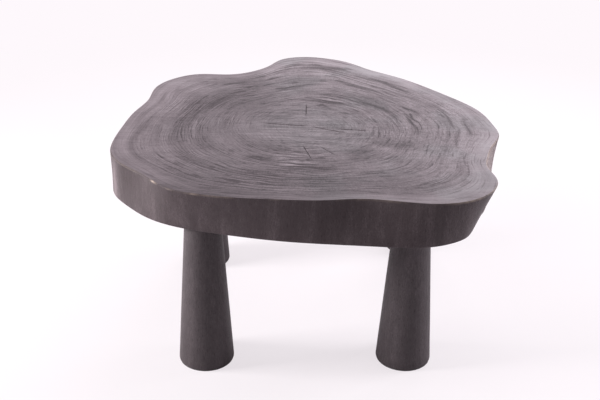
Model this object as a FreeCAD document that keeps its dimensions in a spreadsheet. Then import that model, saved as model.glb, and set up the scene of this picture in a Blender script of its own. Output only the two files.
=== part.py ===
import FreeCAD, Part
import os
import Sketcher

# Coffee table: one thick cross-cut slice of a trunk on four turned conical legs.
# Every leg hangs on a hanger bolt that turns into a threaded insert in the slab's
# underside, and stands on a felt pad. Millimetres. The origin is on the floor below the
# middle of the slab, +Z is up, -Y is the front with the shallow dent, +X is the notched
# side.

os.makedirs("parts", exist_ok=True)
doc = FreeCAD.newDocument("coffee_table")

# Driving dimensions

SIZES = [
    ("table_height", 420, "floor to the top face"),
    ("slab_width", 850, "slab, left to right"),
    ("slab_length", 906, "slab, front to back"),
    ("slab_thickness", 92, "slab, underside to top face"),
    ("top_arris_chamfer", 3, "worn upper edge of the slab"),
    ("bottom_arris_chamfer", 2, "worn lower edge of the slab"),
    ("check_width", 2, "widest drying check"),
    ("check_depth", 5, "drying checks, into the top face"),
    ("leg_top_diameter", 78, "leg against the slab"),
    ("leg_foot_diameter", 118, "leg at the floor"),
    ("insert_diameter", 16, "threaded insert, over its wood thread"),
    ("insert_length", 25, "threaded insert"),
    ("insert_sink", 2, "threaded insert, above the slab's underside"),
    ("insert_headroom", 4, "above the insert in the slab"),
    ("bolt_diameter", 10, "hanger bolt"),
    ("bolt_grip", 24, "hanger bolt above the slab's underside"),
    ("bolt_reach", 60, "hanger bolt below the slab's underside"),
    ("bolt_headroom", 6, "below the bolt in the leg"),
    ("thread_gap", 0.1, "round each thread, radially"),
    ("pad_diameter", 116, "felt pad under the leg"),
    ("pad_thickness", 2, "felt pad under the leg"),
]

sheet = doc.addObject("Spreadsheet::Sheet", "Sizes")
for row, (alias, value, meaning) in enumerate(SIZES, start=1):
    sheet.set(f"A{row}", alias)
    sheet.set(f"B{row}", str(value))
    sheet.setAlias(f"B{row}", alias)
    sheet.set(f"C{row}", meaning)
doc.recompute()

# The slab's outlines, as the photograph shows them from above. Each pair is a share of
# half the slab's width and of half its length, from the slab's middle. The two lists
# run round the slab together, from the left over the front, so that each lower point
# lies under the upper point of the same place in the list. The lower outline has
# neither the notch nor the dent, so the side leans in under the lobes.

TOP_OUTLINE_SHARES = [
    (-1.0, -0.355), (-0.975, -0.53), (-0.905, -0.645), (-0.78, -0.76), (-0.635, -0.88),
    (-0.495, -0.93), (-0.325, -0.955), (-0.135, -0.975), (0.07, -0.97), (0.23, -0.945),
    (0.41, -0.98), (0.6, -0.99), (0.74, -0.945), (0.86, -0.825), (0.89, -0.735),
    (0.865, -0.58), (0.88, -0.495), (0.93, -0.35), (0.995, -0.2), (0.99, -0.065),
    (0.945, 0.135), (0.83, 0.32), (0.69, 0.495), (0.53, 0.66), (0.365, 0.79),
    (0.245, 0.91), (0.12, 0.975), (-0.025, 1.0), (-0.175, 0.945), (-0.245, 0.83),
    (-0.34, 0.72), (-0.475, 0.655), (-0.665, 0.65), (-0.81, 0.565), (-0.895, 0.42),
    (-0.91, 0.22), (-0.955, 0.045), (-0.985, -0.155),
]
BOTTOM_OUTLINE_SHARES = [
    (-1.0, -0.355), (-0.97, -0.535), (-0.895, -0.65), (-0.78, -0.755), (-0.635, -0.84),
    (-0.495, -0.885), (-0.325, -0.925), (-0.135, -0.96), (0.07, -0.98), (0.235, -0.99),
    (0.41, -1.0), (0.585, -0.985), (0.7, -0.93), (0.775, -0.825), (0.82, -0.715),
    (0.875, -0.6), (0.91, -0.49), (0.945, -0.355), (0.96, -0.215), (0.965, -0.065),
    (0.92, 0.13), (0.815, 0.31), (0.675, 0.48), (0.515, 0.645), (0.35, 0.78),
    (0.225, 0.89), (0.11, 0.955), (-0.025, 0.98), (-0.16, 0.92), (-0.225, 0.81),
    (-0.33, 0.7), (-0.475, 0.635), (-0.66, 0.635), (-0.8, 0.555), (-0.885, 0.415),
    (-0.91, 0.22), (-0.95, 0.045), (-0.98, -0.155),
]

# Drying checks that radiate from the pith: where each starts and ends, as shares of
# half the width and half the length, and its width as a share of the widest one.

CHECK_SHARES = [
    ((-0.015, 0.19), (-0.018, 0.025), 1.0),
    ((-0.245, -0.093), (0.0, -0.125), 0.6),
    ((0.01, -0.128), (0.195, -0.205), 0.6),
    ((0.15, -0.153), (0.315, -0.171), 0.7),
    ((-0.033, -0.37), (0.012, -0.535), 0.7),
    ((0.055, -0.38), (0.14, -0.495), 0.6),
]

# Centres of the legs, as shares of half the slab's width and half its length

LEG_PLACE_SHARES = {
    "front_left": (-0.5035, -0.781),
    "front_right": (0.497, -0.754),
    "back_left": (-0.6, 0.169),
    "back_right": (0.63, 0.368),
}

# Formulas that several pieces share

HALF_WIDTH = "Sizes.slab_width / 2"
HALF_LENGTH = "Sizes.slab_length / 2"
UNDERSIDE = "Sizes.table_height - Sizes.slab_thickness"
LEG_LENGTH = f"{UNDERSIDE} - Sizes.pad_thickness"
BOLT_BORE_DIAMETER = "Sizes.bolt_diameter + 2 * Sizes.thread_gap"

OUTLINE_STRETCHES = 6
FULL_TURN = 360
NEAR = 0.001


def number(formula):
    """The value of a formula in the sheet's sizes."""
    return float(sheet.evalExpression(formula))


def leg_place(corner):
    """Formulas for the centre of one leg."""
    across_share, along_share = LEG_PLACE_SHARES[corner]
    return f"{HALF_WIDTH} * {across_share}", f"{HALF_LENGTH} * {along_share}"


LEG_PLACES = [leg_place(corner) for corner in LEG_PLACE_SHARES]


def new_body(label):
    body = doc.addObject("PartDesign::Body", label)
    body.Label = label
    return body


def put(body, corner, height):
    """Stand a body on the axis of one leg, at a height above the floor."""
    across, along = leg_place(corner)
    body.setExpression("Placement.Base.x", across)
    body.setExpression("Placement.Base.y", along)
    body.setExpression("Placement.Base.z", height)


def new_sketch(body, name, plane_role, height="0"):
    """An empty sketch on one of the body's own origin planes, raised by a height."""
    sketch = body.newObject("Sketcher::SketchObject", f"{body.Label}_{name}")
    plane = next(item for item in body.Origin.OriginFeatures if item.Role == plane_role)
    sketch.AttachmentSupport = [(plane, "")]
    sketch.MapMode = "FlatFace"
    sketch.setExpression("AttachmentOffset.Base.z", height)
    return sketch


def bind(sketch, pairs):
    """Tie points of a sketch to formulas; each pair is ((geometry, point), (x, y))."""
    constraints = []
    formulas = []
    for (geometry, point), place in pairs:
        for kind, formula in zip(("DistanceX", "DistanceY"), place):
            constraints.append(Sketcher.Constraint(kind, -1, 1, geometry, point, number(formula)))
            formulas.append(formula)
    first = sketch.ConstraintCount
    sketch.addConstraint(constraints)
    for index, formula in enumerate(formulas, start=first):
        sketch.setExpression(f"Constraints[{index}]", formula)


def draw_profile(sketch, corners):
    """A closed outline of straight lines whose corners are formulas."""
    places = [FreeCAD.Vector(number(x), number(y), 0) for x, y in corners]
    ends = places[1:] + places[:1]
    sketch.addGeometry([Part.LineSegment(a, b) for a, b in zip(places, ends)])
    count = len(places)
    joints = [Sketcher.Constraint("Coincident", i, 2, (i + 1) % count, 1) for i in range(count)]
    sketch.addConstraint(joints)
    bind(sketch, [((i, 1), corner) for i, corner in enumerate(corners)])


def draw_circles(sketch, centres, diameter):
    """Circles of one diameter round centres that are formulas."""
    for x, y in centres:
        centre = FreeCAD.Vector(number(x), number(y), 0)
        radius = number(diameter) / 2
        index = sketch.addGeometry(Part.Circle(centre, FreeCAD.Vector(0, 0, 1), radius))
        bind(sketch, [((index, 3), (x, y))])
        size = sketch.addConstraint(Sketcher.Constraint("Diameter", index, 2 * radius))
        sketch.setExpression(f"Constraints[{size}]", diameter)


def extrude(body, sketch, length):
    """Raise a sketch into a straight body, by a length that is a formula."""
    raised = body.newObject("PartDesign::Pad", f"{body.Label}_raised")
    raised.Profile = sketch
    raised.setExpression("Length", length)
    sketch.Visibility = False
    doc.recompute()
    return raised


def turn(body, sketch):
    """Turn a profile round the body's upright axis, as on a lathe."""
    turned = body.newObject("PartDesign::Revolution", f"{body.Label}_turned")
    turned.Profile = sketch
    turned.ReferenceAxis = (sketch, ["V_Axis"])
    turned.Angle = FULL_TURN
    sketch.Visibility = False
    doc.recompute()
    return turned


def cut(body, name, sketch, depth, upward):
    """Sink a sketch into the body, by a depth that is a formula."""
    before = body.Shape.Volume
    pocket = body.newObject("PartDesign::Pocket", f"{body.Label}_{name}")
    pocket.Profile = sketch
    pocket.Reversed = upward
    pocket.setExpression("Length", depth)
    doc.recompute()
    if pocket.Shape.Volume > before - NEAR:
        raise ValueError(f"{pocket.Label} removes no material")
    return pocket


def bore(body, name, centres, diameter, depth, height="0", upward=True):
    """Blind round bores of one diameter that start at a height of the body."""
    mouths = new_sketch(body, f"{name}_mouths", "XY_Plane", height)
    draw_circles(mouths, centres, diameter)
    return cut(body, name, mouths, depth, upward)


def chamfer(body, name, edges, size):
    """Chamfer some edges of the body's last feature."""
    base = body.Tip
    eased = body.newObject("PartDesign::Chamfer", f"{body.Label}_{name}")
    eased.Base = (base, edges)
    eased.setExpression("Size", size)
    doc.recompute()
    return eased


# Slab: a loft between the two outlines, with worn arrises and open drying checks above
# and the bores for the four threaded inserts below

def unit_outline(shares, knots=None):
    """The smooth closed curve through an outline's points, still in shares."""
    curve = Part.BSplineCurve()
    points = [FreeCAD.Vector(x, y, 0) for x, y in shares]
    if knots is None:
        curve.interpolate(Points=points, PeriodicFlag=True)
    else:
        curve.interpolate(Points=points, PeriodicFlag=True, Parameters=knots)
    return curve


def outline_stretches(unit):
    """A unit outline divided at its knots into stretches of about equal length."""
    knots = unit.getKnots()
    marks = [round(i * (len(knots) - 1) / OUTLINE_STRETCHES) for i in range(OUTLINE_STRETCHES + 1)]
    stretches = []
    for first, last in zip(marks[:-1], marks[1:]):
        stretch = unit.copy()
        stretch.segment(knots[first], knots[last])
        stretches.append(stretch)
    return stretches


def draw_stretch(sketch, stretch):
    """Draw one stretch at full size and tie its control points to the slab's size."""
    formulas = [(f"{HALF_WIDTH} * {pole.x}", f"{HALF_LENGTH} * {pole.y}")
                for pole in stretch.getPoles()]
    poles = [FreeCAD.Vector(number(x), number(y), 0) for x, y in formulas]
    curve = Part.BSplineCurve()
    curve.buildFromPolesMultsKnots(
        poles, stretch.getMultiplicities(), stretch.getKnots(), False, stretch.Degree)
    index = sketch.addGeometry(curve)
    sketch.exposeInternalGeometry(index)
    handles = [i for i in range(index + 1, sketch.GeometryCount)
               if sketch.Geometry[i].TypeId == "Part::GeomCircle"]
    bind(sketch, [((handle, 3), place) for handle, place in zip(handles[:-1], formulas)])
    return index


def draw_outline(sketch, unit):
    """Draw a whole outline, each stretch ending where the next one starts."""
    drawn = [draw_stretch(sketch, stretch) for stretch in outline_stretches(unit)]
    joints = [Sketcher.Constraint("Coincident", here, 2, after, 1)
              for here, after in zip(drawn, drawn[1:] + drawn[:1])]
    sketch.addConstraint(joints)


def outline_edges(feature, height):
    """Names of a feature's edges that lie along the outline at one height."""
    level = number(height)
    found = []
    for index, edge in enumerate(feature.Shape.Edges, start=1):
        box = edge.BoundBox
        flat = abs(box.ZMin - level) < NEAR and abs(box.ZMax - level) < NEAR
        if flat and edge.Curve.TypeId == "Part::GeomBSplineCurve":
            found.append(f"Edge{index}")
    return found


def draw_check(sketch, start, end, width):
    """A drying check seen from above: two flat arcs that meet in a point at each end."""
    middle = (start + end) / 2
    along = (end - start).normalize()
    aside = FreeCAD.Vector(-along.y, along.x, 0) * (width / 2)
    sketch.addGeometry(Part.Arc(start, middle + aside, end))
    sketch.addGeometry(Part.Arc(end, middle - aside, start))


def make_slab():
    slab = new_body("slab_top")
    upper_curve = unit_outline(TOP_OUTLINE_SHARES)
    lower_curve = unit_outline(BOTTOM_OUTLINE_SHARES, upper_curve.getKnots())
    lower = new_sketch(slab, "lower_outline", "XY_Plane")
    draw_outline(lower, lower_curve)
    upper = new_sketch(slab, "upper_outline", "XY_Plane", "Sizes.slab_thickness")
    draw_outline(upper, upper_curve)
    blank = slab.newObject("PartDesign::AdditiveLoft", "slab_blank")
    blank.Profile = lower
    blank.Sections = [upper]
    blank.Ruled = True
    doc.recompute()

    # Drying checks
    checks = new_sketch(slab, "checks", "XY_Plane", "Sizes.slab_thickness")
    for start, end, width_share in CHECK_SHARES:
        ends = [FreeCAD.Vector(number(HALF_WIDTH) * x, number(HALF_LENGTH) * y, 0)
                for x, y in (start, end)]
        draw_check(checks, ends[0], ends[1], number("Sizes.check_width") * width_share)
    cut(slab, "drying_checks", checks, "Sizes.check_depth", upward=False)

    # Bores in the underside, all four inserts at once
    bore(slab, "insert_bores", LEG_PLACES, "Sizes.insert_diameter + 2 * Sizes.thread_gap",
         "Sizes.insert_sink + Sizes.insert_length + Sizes.insert_headroom")

    # Arrises, only along the two outlines
    for name, height, size in (("upper_arris", "Sizes.slab_thickness", "Sizes.top_arris_chamfer"),
                               ("lower_arris", "0", "Sizes.bottom_arris_chamfer")):
        chamfer(slab, name, outline_edges(slab.Tip, height), size)
    slab.setExpression("Placement.Base.z", UNDERSIDE)
    return slab


# Leg: a straight cone off the lathe, thin end up, bored for its bolt

def make_leg(corner):
    leg = new_body(f"leg_{corner}")
    profile = new_sketch(leg, "profile", "XZ_Plane")
    draw_profile(profile, [
        ("0", "0"),
        ("Sizes.leg_foot_diameter / 2", "0"),
        ("Sizes.leg_top_diameter / 2", LEG_LENGTH),
        ("0", LEG_LENGTH),
    ])
    turn(leg, profile)
    bore(leg, "bolt_bore", [("0", "0")], BOLT_BORE_DIAMETER,
         "Sizes.bolt_reach + Sizes.bolt_headroom", LEG_LENGTH, upward=False)
    put(leg, corner, "Sizes.pad_thickness")
    return leg


# Hanger bolt: machine thread up in the insert, wood thread down in the leg

def make_bolt(corner):
    bolt = new_body(f"hanger_bolt_{corner}")
    shank = new_sketch(bolt, "shank", "XY_Plane", "-Sizes.bolt_reach")
    draw_circles(shank, [("0", "0")], "Sizes.bolt_diameter")
    extrude(bolt, shank, "Sizes.bolt_reach + Sizes.bolt_grip")
    put(bolt, corner, UNDERSIDE)
    return bolt


# Threaded inserts: steel sleeves that are screwed into the slab and take the bolts

def make_inserts():
    inserts = new_body("thread_inserts")
    inserts.AllowCompound = True
    sleeves = new_sketch(inserts, "sleeves", "XY_Plane", "Sizes.insert_sink")
    draw_circles(sleeves, LEG_PLACES, "Sizes.insert_diameter")
    draw_circles(sleeves, LEG_PLACES, BOLT_BORE_DIAMETER)
    extrude(inserts, sleeves, "Sizes.insert_length")
    inserts.setExpression("Placement.Base.z", UNDERSIDE)
    return inserts


# Felt pads: discs stuck under the feet

def make_pads():
    felts = new_body("felt_pads")
    felts.AllowCompound = True
    discs = new_sketch(felts, "discs", "XY_Plane")
    draw_circles(discs, LEG_PLACES, "Sizes.pad_diameter")
    extrude(felts, discs, "Sizes.pad_thickness")
    return felts


pieces = [make_slab(), make_inserts(), make_pads()]
for corner in LEG_PLACE_SHARES:
    pieces.append(make_leg(corner))
    pieces.append(make_bolt(corner))
doc.recompute()

for item in doc.Objects:
    if "Invalid" in item.State or "Error" in item.State:
        raise ValueError(f"{item.Label} is in state {item.State}")
for piece in pieces:
    if piece.Shape.isNull() or not piece.Shape.isValid():
        raise ValueError(f"{piece.Label} has no sound shape")

for piece in pieces:
    piece.Shape.exportStep(os.path.join("parts", f"{piece.Label}.step"))
    box = piece.Shape.optimalBoundingBox()
    print(f"{piece.Label}: {len(piece.Shape.Solids)} solid(s), volume {piece.Shape.Volume:.0f} mm3,"
          f" X {box.XMin:.1f} to {box.XMax:.1f}, Y {box.YMin:.1f} to {box.YMax:.1f},"
          f" Z {box.ZMin:.1f} to {box.ZMax:.1f}")
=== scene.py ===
"""Looks of the coffee table: a thick cross-cut slab of a trunk on four turned, tapered legs.

Lengths are in metres in the frame of the CAD model. The slab's outlines are written as shares of its
half width and half length, as in the construction model. They differ from the model's outlines a
little, most at the front left lobe, where they follow the photograph more closely.
"""

import math

import bpy
import numpy as np
from mathutils import Matrix, Vector
from mathutils.geometry import delaunay_2d_cdt

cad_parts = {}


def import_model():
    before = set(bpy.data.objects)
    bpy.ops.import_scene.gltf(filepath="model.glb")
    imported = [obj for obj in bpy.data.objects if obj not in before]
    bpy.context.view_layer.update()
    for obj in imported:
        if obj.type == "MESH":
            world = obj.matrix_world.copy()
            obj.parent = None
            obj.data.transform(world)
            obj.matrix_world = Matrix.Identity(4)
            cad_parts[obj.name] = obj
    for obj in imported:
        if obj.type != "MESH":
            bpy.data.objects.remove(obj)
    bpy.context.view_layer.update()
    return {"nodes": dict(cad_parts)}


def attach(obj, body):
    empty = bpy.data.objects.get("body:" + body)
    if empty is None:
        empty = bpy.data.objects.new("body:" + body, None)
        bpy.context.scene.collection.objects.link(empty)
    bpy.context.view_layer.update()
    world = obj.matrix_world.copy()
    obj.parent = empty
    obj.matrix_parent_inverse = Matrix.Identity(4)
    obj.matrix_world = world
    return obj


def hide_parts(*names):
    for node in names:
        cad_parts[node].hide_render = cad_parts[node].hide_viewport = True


MM = 0.001
IMAGE_WIDTH = 600

# The slab.
HALF_SLAB = np.array((0.425, 0.453))
SLAB_TOP = 0.420
SLAB_THICKNESS = 0.092
SLAB_UNDERSIDE = SLAB_TOP - SLAB_THICKNESS
TOP_ARRIS = 3.0 * MM
BOTTOM_ARRIS = 2.0 * MM
TOP_OUTLINE_SHARES = (
    (-1.0, -0.355), (-0.985, -0.49), (-0.91, -0.62), (-0.78, -0.745), (-0.65, -0.875),
    (-0.495, -0.93), (-0.325, -0.955), (-0.135, -0.965), (0.07, -0.965), (0.23, -0.945),
    (0.41, -0.965), (0.6, -0.98), (0.74, -0.94), (0.86, -0.825), (0.89, -0.735),
    (0.87, -0.56), (0.885, -0.49), (0.93, -0.35), (0.995, -0.2), (0.99, -0.065),
    (0.945, 0.135), (0.83, 0.32), (0.69, 0.495), (0.53, 0.66), (0.365, 0.79),
    (0.245, 0.91), (0.12, 0.975), (-0.025, 1.0), (-0.175, 0.945), (-0.245, 0.83),
    (-0.34, 0.72), (-0.475, 0.655), (-0.665, 0.65), (-0.81, 0.565), (-0.895, 0.42),
    (-0.91, 0.22), (-0.955, 0.045), (-0.985, -0.155))
BOTTOM_OUTLINE_SHARES = (
    (-1.0, -0.355), (-0.98, -0.505), (-0.905, -0.625), (-0.78, -0.755), (-0.635, -0.84),
    (-0.495, -0.885), (-0.325, -0.925), (-0.135, -0.96), (0.07, -0.98), (0.235, -0.99),
    (0.41, -1.0), (0.585, -0.985), (0.7, -0.93), (0.775, -0.825), (0.82, -0.715),
    (0.875, -0.6), (0.91, -0.49), (0.945, -0.355), (0.96, -0.215), (0.965, -0.065),
    (0.92, 0.13), (0.815, 0.31), (0.675, 0.48), (0.515, 0.645), (0.35, 0.78),
    (0.225, 0.89), (0.11, 0.955), (-0.025, 0.98), (-0.16, 0.92), (-0.225, 0.81),
    (-0.33, 0.7), (-0.475, 0.635), (-0.66, 0.635), (-0.8, 0.555), (-0.885, 0.415),
    (-0.91, 0.22), (-0.95, 0.045), (-0.98, -0.155))

# Drying checks in the top: start, end, share of the widest one's width, and how dark it looks.
CHECK_SHARES = (
    ((-0.015, 0.19), (-0.018, 0.025), 1.0, 0.95),
    ((-0.245, -0.093), (0.0, -0.125), 1.5, 0.75),
    ((0.01, -0.128), (0.195, -0.205), 1.5, 0.75),
    ((0.15, -0.153), (0.315, -0.171), 1.6, 0.80),
    ((-0.033, -0.37), (0.012, -0.535), 0.7, 0.95),
    ((0.055, -0.38), (0.14, -0.495), 0.9, 0.90))
CHECK_WIDTH = 2.0 * MM
CHECK_DEPTH = 2.0 * MM
CHECK_REACH = 0.62
CHECK_SWAY = 2.4 * MM

# Growth rings of the trunk.
PITH = np.array((0.002, -0.068))
GROWTH_REACH = 0.420
COLUMNS = 440
TOP_ROWS = 186
SIDE_ROWS = 16
ARRIS_ROWS = 4
RELIEF = 0.25 * MM
SWELLINGS = 60
SWELLING_FADE = 0.42

# Noises that let a ring stray in and out: strength, times round, start, times across, seed, and
# whether the strength grows outward.
WANDERS = (
    (7.0 * MM, 2.2, 9.0, 5.0, 11, False), (2.6 * MM, 9.0, 12.0, 14.0, 12, True),
    (0.8 * MM, 26.0, 40.0, 40.0, 13, True))

# Noises that make the brushed relief: strength, times round, start, width across the rings, seed.
RELIEFS = ((0.45, 1.8, 7.0, 0.026, 21), (0.5, 4.5, 7.0, 0.0105, 22), (0.35, 9.0, 17.0, 0.0052, 23))

# The side's hollow, and the noises in it: strength, width, start, height, seed.
SIDE_HOLLOW = 0.55
SIDE_WAVERS = ((0.6, 70.0, 20.0, 60.0, 31), (0.25, 18.0, 60.0, 45.0, 32))

# The grid of points in the slab's underside.
UNDERSIDE_HALF = (0.44, 0.46)
UNDERSIDE_SPACING = 0.016
UNDERSIDE_SEEDS = ((0.5, 41), (7.5, 42))
BORE_COLUMNS = 32

# Dark strokes that follow the rings: direction from the pith and half spread in degrees, share of
# the way to the rim and half of its spread, and how dark.
STROKES = (
    (74, 17, 0.40, 0.020, 0.9), (115, 7, 0.74, 0.11, 0.36), (85, 7, 0.87, 0.022, 0.8),
    (68, 11, 0.70, 0.020, 0.8), (57, 12, 0.845, 0.020, 0.8), (28, 8, 0.64, 0.016, 0.7),
    (11, 13, 0.575, 0.010, 0.9), (5, 9, 0.86, 0.014, 0.6), (-24, 9, 0.46, 0.10, 0.6),
    (-52, 12, 0.44, 0.06, 0.5), (-88, 14, 0.56, 0.020, 0.8), (-100, 12, 0.74, 0.030, 0.5),
    (-68, 16, 0.80, 0.022, 0.5), (-122, 8, 0.50, 0.05, 0.5), (150, 16, 0.58, 0.05, 0.10),
    (174, 12, 0.60, 0.04, 0.04), (196, 20, 0.90, 0.025, 0.35), (163, 16, 0.93, 0.015, 0.35),
    (132, 13, 0.66, 0.025, 0.15), (98, 10, 0.60, 0.020, 0.6), (40, 20, 0.50, 0.015, 0.6),
    (-98, 52, 0.84, 0.26, 0.50), (-150, 30, 0.60, 0.22, 0.14), (18, 7, 0.60, 0.008, 0.9),
    (-8, 10, 0.80, 0.010, 0.7), (12, 12, 0.79, 0.008, 0.6), (73, 10, 0.81, 0.07, 0.30),
    (33, 8, 0.85, 0.06, 0.32), (-50, 7, 0.95, 0.035, 0.30), (116, 26, 0.25, 0.05, 0.34),
    (8, 13, 0.41, 0.04, 0.30), (60, 7, 0.91, 0.035, 0.25))

# Places where the stain is rubbed off the upper arris: place, reach, strength.
WORN_PLACES = (
    ((1.0, -0.2), 0.030, 0.20), ((0.94, -0.35), 0.045, 0.85), ((0.885, -0.5), 0.050, 1.0),
    ((0.88, -0.585), 0.035, 0.90), ((0.895, -0.74), 0.022, 0.20), ((0.86, -0.825), 0.030, 0.50),
    ((0.745, -0.95), 0.045, 0.45), ((-0.73, -0.805), 0.0075, 0.85), ((-0.645, -0.875), 0.010, 0.15),
    ((-0.53, -0.92), 0.010, 0.35), ((-0.9, -0.65), 0.060, 0.10))

# Lighter and darker upright patches on the side: place, reach, share of the way down, strength. The
# pale one at the left end is a painted highlight where the left lamp strikes the side; the others
# darken or lighten the side's tone.
SIDE_TONES_AND_HIGHLIGHT = (
    ((-0.96, -0.545), 0.011, 0.70, 0.50), ((-0.88, -0.65), 0.030, 0.10, -0.24),
    ((-0.75, -0.77), 0.026, 0.85, 0.08), ((-0.66, -0.86), 0.022, 0.20, -0.08),
    ((-0.05, -0.96), 0.140, 0.55, -0.07))
SIDE_TONE_HEIGHT = 0.55

NOTCH_SHARE = (0.92, -0.45)
NOTCH_REACH = 0.095
NOTCH_STRENGTH = 0.75

# How far each row from the last one of the upper face on belongs to the upper arris.
ARRIS_SHARES = (0.4, 1.0, 1.0, 0.9, 0.6, 0.0)

# Legs, and what holds them.
LEG_PLACE_SHARES = {
    "front_left": (-0.5035, -0.781),
    "front_right": (0.497, -0.754),
    "back_left": (-0.6, 0.169),
    "back_right": (0.63, 0.368)}
LEG_TOP_RADIUS = 0.039
LEG_FOOT_RADIUS = 0.059
PAD_RADIUS = 0.058
PAD_THICKNESS = 0.002
INSERT_BORE_RADIUS = 8.1 * MM
INSERT_BORE_DEPTH = 31.0 * MM
BOLT_BORE_RADIUS = 5.1 * MM
BOLT_BORE_DEPTH = 66.0 * MM
LEG_COLUMNS = 128
LEG_ROWS = 90
LEG_EASE = 2.5 * MM
LEG_EASE_ROWS = 4
LEG_SLENDER = 0.9 * MM
LEG_SEED = 51
LEG_SEED_STEP = 5

# Unevenness of a leg: strength, times round and start, height, and step of the seed.
LEG_RELIEFS = ((0.22 * MM, 3.0, 10.0, 0.11, 0), (0.12 * MM, 18.0, 60.0, 0.05, 1))
LEG_RINGS = 0.03 * MM
LEG_RING_HEIGHT = 0.007
PAD_COLUMNS = 96
PAD_SEED = 91
PAD_RELIEF = 0.3 * MM
PAD_PROFILE = ((0.7 * MM, 0.0), (0.15 * MM, 0.35 * MM), (0.0, 1.0 * MM), (0.15 * MM, 1.65 * MM),
               (0.5 * MM, PAD_THICKNESS))

# The camera: its place, its pitch and roll, and its angle of view at the photograph's width.
CAMERA_PLACE = (-0.0180, -2.1056, 1.2353)
CAMERA_PITCH = math.radians(26.04)
CAMERA_ROLL = math.radians(0.986)
FOCAL_PIXELS = 975.0
SENSOR_WIDTH = 36.0


def srgb(red, green, blue):
    """A colour written as 0 to 255, as the shader wants it."""
    shares = [c / 255 for c in (red, green, blue)]
    linear = [c / 12.92 if c <= 0.04045 else ((c + 0.055) / 1.055) ** 2.4 for c in shares]
    return tuple(linear + [1.0])


def blend(low, high, value):
    """Rises smoothly from 0 at low to 1 at high."""
    share = np.clip((value - low) / (high - low), 0.0, 1.0)
    return share * share * (3.0 - 2.0 * share)


def soft_noise(x, y, z, seed):
    """Smooth noise between -1 and 1, the same on every run."""
    size = 32
    lattice = np.random.default_rng(seed).uniform(-1.0, 1.0, (size, size, size))
    x, y, z = np.broadcast_arrays(x, y, z)
    cells = [np.floor(c).astype(int) for c in (x, y, z)]
    eases = []
    for value, cell in zip((x, y, z), cells):
        part = value - cell
        eases.append(part * part * (3.0 - 2.0 * part))
    total = 0.0
    for corner in range(8):
        steps = (corner & 1, corner >> 1 & 1, corner >> 2 & 1)
        weight = 1.0
        for ease, step in zip(eases, steps):
            weight = weight * (ease if step else 1.0 - ease)
        i, j, k = [(cell + step) % size for cell, step in zip(cells, steps)]
        total = total + weight * lattice[i, j, k]
    return total


def round_noise(turn, often, start, along, seed):
    """Smooth noise on a round: often is how fast it changes with the direction."""
    return soft_noise(np.cos(turn) * often + start, np.sin(turn) * often + start, along, seed)


def quarter_round(radius, steps):
    """Inset and rise of the points of an eased edge, from the face on which it lies."""
    turns = [0.5 * math.pi * step / steps for step in range(steps + 1)]
    return [(radius * (1.0 - math.sin(turn)), radius * (1.0 - math.cos(turn))) for turn in turns]


# Outlines of the slab.

def knots_of(points):
    """Parameters of a closed outline: the distance run along its points."""
    steps = np.linalg.norm(np.roll(points, -1, 0) - points, axis=1)
    return np.concatenate(([0.0], np.cumsum(steps)))


def closed_spline(points, knots):
    """Second derivatives of the smooth closed curve through the points."""
    count = len(points)
    step = np.diff(knots)
    left = np.zeros((count, count))
    right = np.zeros((count, 2))
    for i in range(count):
        before, after = step[i - 1], step[i]
        left[i, i - 1] += before
        left[i, i] += 2.0 * (before + after)
        left[i, (i + 1) % count] += after
        right[i] = 6.0 * ((points[(i + 1) % count] - points[i]) / after
                          - (points[i] - points[i - 1]) / before)
    return np.linalg.solve(left, right)


def spline_points(points, knots, along):
    """Places on the closed curve."""
    bends = closed_spline(points, knots)
    i = np.clip(np.searchsorted(knots, along, side="right") - 1, 0, len(points) - 1)
    j = (i + 1) % len(points)
    step = (knots[i + 1] - knots[i])[:, None]
    a = (knots[i + 1] - along)[:, None] / step
    b = 1.0 - a
    return (a * points[i] + b * points[j]
            + ((a ** 3 - a) * bends[i] + (b ** 3 - b) * bends[j]) * step * step / 6.0)


def rims():
    """Upper and lower outline of the slab, column by column, and their outward directions."""
    top = np.array(TOP_OUTLINE_SHARES) * HALF_SLAB
    bottom = np.array(BOTTOM_OUTLINE_SHARES) * HALF_SLAB
    knots = knots_of(top)
    along = np.linspace(0.0, knots[-1], COLUMNS, endpoint=False)
    outlines = [spline_points(points, knots, along) for points in (top, bottom)]
    outwards = []
    for outline in outlines:
        run = np.roll(outline, -1, 0) - np.roll(outline, 1, 0)
        run /= np.linalg.norm(run, axis=1)[:, None]
        outwards.append(np.column_stack((run[:, 1], -run[:, 0])))
    return outlines, outwards


# The growth rings. A ring is a smooth oval near the pith and takes the outline's lobes further out.

def swellings(angle, radius):
    """The outline as a round with swellings of rising order, and what is left over."""
    waves = [wave(order * angle) for order in range(1, SWELLINGS + 1) for wave in (np.cos, np.sin)]
    terms = np.array([np.ones_like(angle)] + waves).T
    sizes = np.linalg.lstsq(terms, radius, rcond=None)[0]
    orders = np.array([0] + [order for order in range(1, SWELLINGS + 1) for _ in (0, 1)])
    return terms * sizes, orders, radius - terms @ sizes


def ring_radius(share, parts, orders, rest):
    """Distance of the ring from the pith: the smaller a swelling, the nearer the rim it begins."""
    faded = parts @ share ** (SWELLING_FADE * orders)
    return share * (faded + rest * share ** (SWELLING_FADE * SWELLINGS))


def ring_wander(angle, share):
    """How far a ring strays in and out, in metres: wide swings and short ripples."""
    total = 0.0
    for strength, often, start, across, seed, grows in WANDERS:
        stray = round_noise(angle, often, start, share * across, seed)
        total = total + strength * stray * (share if grows else 1.0)
    return total


def ring_relief(angle, growth):
    """Height of the brushed rings between -1 and 1: hard late wood stands proud."""
    total = 0.0
    for strength, often, start, width, seed in RELIEFS:
        total = total + strength * round_noise(angle, often, start, growth / width, seed)
    return np.clip(total, -1.0, 1.0)


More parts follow.
